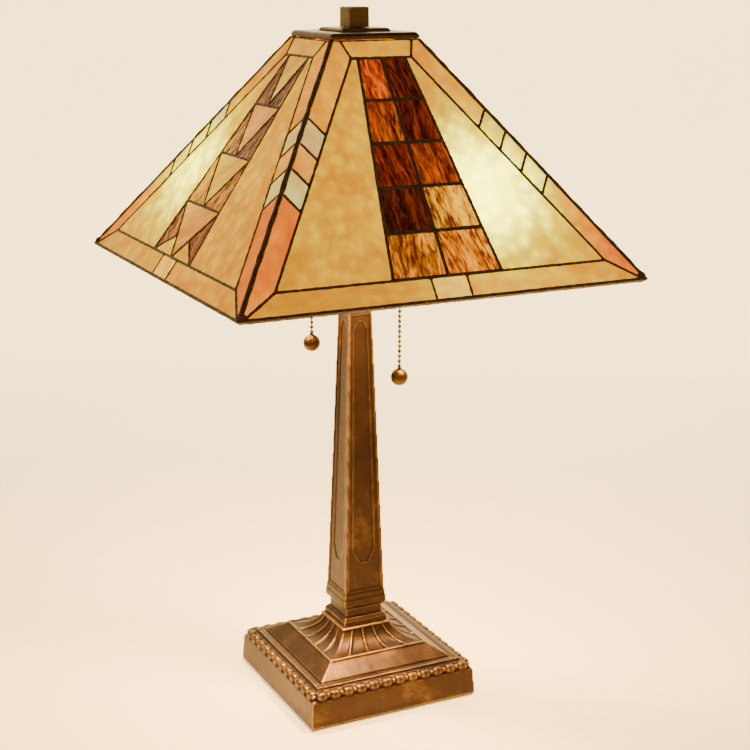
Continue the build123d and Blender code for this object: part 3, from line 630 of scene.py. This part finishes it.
def border_tints(outline, chance):
    """Golden amber at the top and bottom, orange up the sides, and pale chevrons and tile."""
    x, y = centre_of(outline)
    width = max(point[0] for point in outline) - min(point[0] for point in outline)
    at_bottom, in_middle = y < LOWER_STRIP_TOP, abs(x) < MIDDLE_LINE
    if at_bottom and in_middle:
        return TILE, chance.uniform(1.3, 1.8)
    if at_bottom or in_middle:
        return varied(chance, (1.08, 1.00, 1.0), 0.10), math.pi / 2 + chance.uniform(-0.3, 0.3)
    chevron = int((y - SIDE_CHEVRON_LOW + SIDE_CHEVRON_PITCH / 2) // SIDE_CHEVRON_PITCH)
    if width < SIDE_PANE_WIDTH and 0 <= chevron < len(CHEVRONS):
        return varied(chance, CHEVRONS[chevron], 0.08), chance.uniform(-1, 1)
    if y < LONG_SIDE_PANE_TOP:
        return varied(chance, (1.22, 0.62, 1.0), 0.05), chance.uniform(-0.4, 0.4)
    return varied(chance, (1.14, 0.88, 1.0), 0.08), chance.uniform(-0.4, 0.4)


def field_tints(outline, chance):
    """Nearly one amber for every field."""
    return varied(chance, (1.05, 1.05, 1.0), 0.05), chance.uniform(-0.5, 0.5)


def block_tints(outline, chance):
    """Two columns of blocks, from near black to bright orange-red."""
    colours = BLOCKS_RIGHT if centre_of(outline)[0] > 0 else BLOCKS_LEFT
    return varied(chance, in_row(colours, outline, BLOCK_PITCH), 0.06), chance.uniform(-0.2, 0.2)


def arrow_tints(outline, chance):
    """The pale arrowheads."""
    return varied(chance, in_row(ARROWS, outline, ARROW_PITCH), 0.06), chance.uniform(0.3, 1.2)


def dark_tints(outline, chance):
    """The dark panes on each side of the arrowheads."""
    return varied(chance, in_row(DARKS, outline, ARROW_PITCH), 0.12), chance.uniform(-0.5, 0.5)


GLASS_KINDS = {
    "border_glass": dict(tints=border_tints, step=0.0030, wave=0.00030, wave_scale=45),
    "field_glass": dict(tints=field_tints, step=0.0034, wave=0.00040, wave_scale=28),
    "block_glass": dict(tints=block_tints, step=0.0014, wave=0.00055, wave_scale=190),
    "arrow_glass": dict(tints=arrow_tints, step=0.0026, wave=0.00030, wave_scale=45),
    "dark_glass": dict(tints=dark_tints, step=0.0014, wave=0.00055, wave_scale=190),
}

for side in TURNS:
    for kind, making in GLASS_KINDS.items():
        if f"{side}_{kind}" in NODES:
            glass_piece(f"{side}_{kind}", side, **making)

# ---------------------------------------------------------------------------------------------
# The shade's metal

LUMP_RADIUS = 0.0046
LUMP_INSET = 0.0052
LUMP_LIFT = 0.0012


def rim_with_lumps():
    """The bottom rim's mesh with a lump of solder joined to each corner."""
    shape = bmesh.new()
    shape.from_mesh(NODES["bottom_rim"].data)
    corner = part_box("bottom_rim")[1].x - LUMP_INSET
    for x in (-corner, corner):
        for y in (-corner, corner):
            made = bmesh.ops.create_icosphere(shape, subdivisions=2, radius=LUMP_RADIUS)
            centre = Vector((x, y, SHADE_BOTTOM + LUMP_LIFT))
            bmesh.ops.translate(shape, verts=made["verts"], vec=centre)
    mesh = bpy.data.meshes.new("rim_with_lumps")
    shape.to_mesh(mesh)
    shape.free()
    return mesh


for side in TURNS:
    recast(f"{side}_came", 0.00065, rounds=5, rough=0.00035, rough_scale=230, name=f"{side}_leading")
rim = cast(rim_with_lumps(), 0.0008, rounds=4, rough=0.0003, rough_scale=160)
new_piece("rim_channel", rim, "bottom_rim")
recast("hip_bars", 0.0008, rounds=5, rough=0.0006, rough_scale=120, name="hip_solder")
recast("shade_cap", 0.0009, rounds=3, rough=0.00008, rough_scale=200, material="cap_bronze")
recast("finial_plate", 0.0006, rounds=3, rough=0.00006, rough_scale=200, material="cap_bronze")
recast("finial", 0.0005, rounds=3, rough=0.00002, rough_scale=250, material="finial_bronze")

# ---------------------------------------------------------------------------------------------
# The stand, and the CAD nodes that are kept as they are

SHARP_METAL_EDGE = math.radians(35)

recast("base_casting", 0.00085, rounds=3, rough=0.00010, rough_scale=160)
recast("column_collar", 0.0006, rounds=3, rough=0.00008, rough_scale=200)
recast("column_shaft", 0.0007, rounds=3, rough=0.00010, rough_scale=150)
recast("column_cap", 0.0006, rounds=2, rough=0.00005, rough_scale=200)

for node, thing in NODES.items():
    if thing.hide_render:
        continue
    thing.data.materials.clear()
    thing.data.materials.append(MATERIALS[SLOTS[node]])
    thing.data.shade_smooth()
    thing.data.set_sharp_from_angle(angle=SHARP_METAL_EDGE)

for side in BULBS:
    NODES[f"{side}_bulb_glass"].visible_shadow = False

# ---------------------------------------------------------------------------------------------
# Camera

CAMERA_PLACE = Vector((-0.56325, -1.17282, 0.64085))
CAMERA_YAW = math.radians(26.42)
CAMERA_PITCH = math.radians(-15.15)
CAMERA_ROLL = math.radians(0.08)
CAMERA_LENS = 73.75
CAMERA_SENSOR = 36


def camera():
    data = bpy.data.cameras.new("camera")
    data.sensor_width = CAMERA_SENSOR
    data.lens = CAMERA_LENS
    thing = new_object("camera", data)
    turn = Matrix.Rotation(-CAMERA_YAW, 4, "Z") @ Matrix.Rotation(math.pi / 2 + CAMERA_PITCH, 4, "X")
    thing.matrix_world = Matrix.Translation(CAMERA_PLACE) @ turn @ Matrix.Rotation(CAMERA_ROLL, 4, "Z")
    bpy.context.scene.camera = thing


# ---------------------------------------------------------------------------------------------
# The stage: a pale bowl, flat under the lamp, that glows softly behind it as the camera sees it

FLOOR_GAP = 0.0002
FLOOR_RADIUS = 2.8
FLOOR_RINGS = (0.25, 0.6, 1.2, 2.0)
CURVE_RADIUS = 0.7
CURVE_STEPS = 12
WALL_HEIGHT = 3.6
SEGMENTS = 64
CAMERA_BACK = 1.3


def stage_material():
    g = Graph("pale_stage")
    at = g.place()
    g.set(Base_Color=g.ramp(g.noise(at, 3, detail=3), (0.3, (0.80, 0.70, 0.52)), (0.7, (0.84, 0.74, 0.56))))
    g.set(Roughness=0.75, Normal=g.bump(g.noise(at, 350, detail=3), 0.0002, strength=0.3))
    ahead = (math.sin(CAMERA_YAW), math.cos(CAMERA_YAW), 0)
    right = (math.cos(CAMERA_YAW), -math.sin(CAMERA_YAW), 0)
    along = g.vector_math("DOT_PRODUCT", at, ahead, output="Value")
    aside = g.vector_math("DOT_PRODUCT", at, right, output="Value")
    behind = g.spread(along, -0.3, 1.2, at_low=0.35, at_high=3.0)
    from_camera = g.math("MAXIMUM", g.math("ADD", along, CAMERA_BACK), 0.05)
    off_view = g.math("DIVIDE", g.math("ABSOLUTE", aside), from_camera)
    in_view = g.spread(off_view, 0.30, 0.55, at_low=1.0, at_high=0.15)
    g.set(Emission_Color=(1.0, 0.76, 0.38, 1), Emission_Strength=g.math("MULTIPLY", behind, in_view))
    return g.material


def stage_bowl():
    """The floor, curved up all round into a plain wall far behind the lamp and the camera."""
    profile = [(radius, 0.0) for radius in FLOOR_RINGS]
    for i in range(CURVE_STEPS + 1):
        angle = i / CURVE_STEPS * math.pi / 2
        profile.append((FLOOR_RADIUS + CURVE_RADIUS * math.sin(angle), CURVE_RADIUS * (1 - math.cos(angle))))
    profile.append((FLOOR_RADIUS + CURVE_RADIUS, WALL_HEIGHT))
    vertices, faces = [Vector((0, 0, -FLOOR_GAP))], []
    for radius, z in profile:
        for k in range(SEGMENTS):
            angle = 2 * math.pi * k / SEGMENTS
            vertices.append(Vector((radius * math.cos(angle), radius * math.sin(angle), z - FLOOR_GAP)))
    for k in range(SEGMENTS):
        after = (k + 1) % SEGMENTS
        faces.append((0, 1 + k, 1 + after))
        for ring in range(len(profile) - 1):
            low, high = 1 + ring * SEGMENTS, 1 + (ring + 1) * SEGMENTS
            faces.append((low + k, high + k, high + after, low + after))
    mesh = bpy.data.meshes.new("stage")
    mesh.from_pydata(vertices, [], faces)
    mesh.materials.append(stage_material())
    smooth_shade(mesh)
    new_object("stage", mesh)


# ---------------------------------------------------------------------------------------------
# Light

BULB_COLOUR = (1.0, 0.62, 0.26)
BULB_ENERGY = 30.0
BULB_SIZE = 0.022
LAMP_MIDDLE = (0, 0, 0.25)


def soft_light(name, place, target, size, energy, colour):
    data = bpy.data.lights.new(name, "AREA")
    data.shape = "DISK"
    data.size = size
    data.energy = energy
    data.color = colour
    thing = new_object(name, data)
    thing.location = place
    thing.rotation_euler = (Vector(target) - Vector(place)).to_track_quat("-Z", "Y").to_euler()


def bulb_light(name, place):
    data = bpy.data.lights.new(name, "POINT")
    data.energy = BULB_ENERGY
    data.color = BULB_COLOUR
    data.shadow_soft_size = BULB_SIZE
    new_object(name, data).location = place


def studio_world():
    """A plain warm studio: brighter behind, above and to the left than in front."""
    world = bpy.data.worlds.new("studio")
    world.use_nodes = True
    nodes, links = world.node_tree.nodes, world.node_tree.links
    toward = nodes.new("ShaderNodeVectorMath")
    toward.operation = "DOT_PRODUCT"
    toward.inputs[1].default_value = Vector((-0.62, 0.55, 0.56)).normalized()
    links.new(nodes.new("ShaderNodeTexCoord").outputs["Generated"], toward.inputs[0])
    strength = nodes.new("ShaderNodeMapRange")
    for name, value in {"From Min": -0.6, "From Max": 0.9, "To Min": 0.10, "To Max": 0.60}.items():
        strength.inputs[name].default_value = value
    links.new(toward.outputs["Value"], strength.inputs["Value"])
    background = nodes["Background"]
    background.inputs["Color"].default_value = (1.0, 0.78, 0.50, 1)
    links.new(strength.outputs["Result"], background.inputs["Strength"])
    bpy.context.scene.world = world


stage_bowl()
camera()
soft_light("left_window", (-1.9, -0.7, 1.3), LAMP_MIDDLE, size=0.7, energy=9, colour=(1.0, 0.66, 0.36))
soft_light("front_fill", (0.7, -2.4, 1.5), LAMP_MIDDLE, size=2.0, energy=1.5, colour=(1.0, 0.90, 0.76))
soft_light("right_back", (1.6, 1.2, 1.7), (0, 0, 0.3), size=1.4, energy=14, colour=(1.0, 0.86, 0.66))
for side, place in BULBS.items():
    bulb_light(f"{side}_light", place)
studio_world()
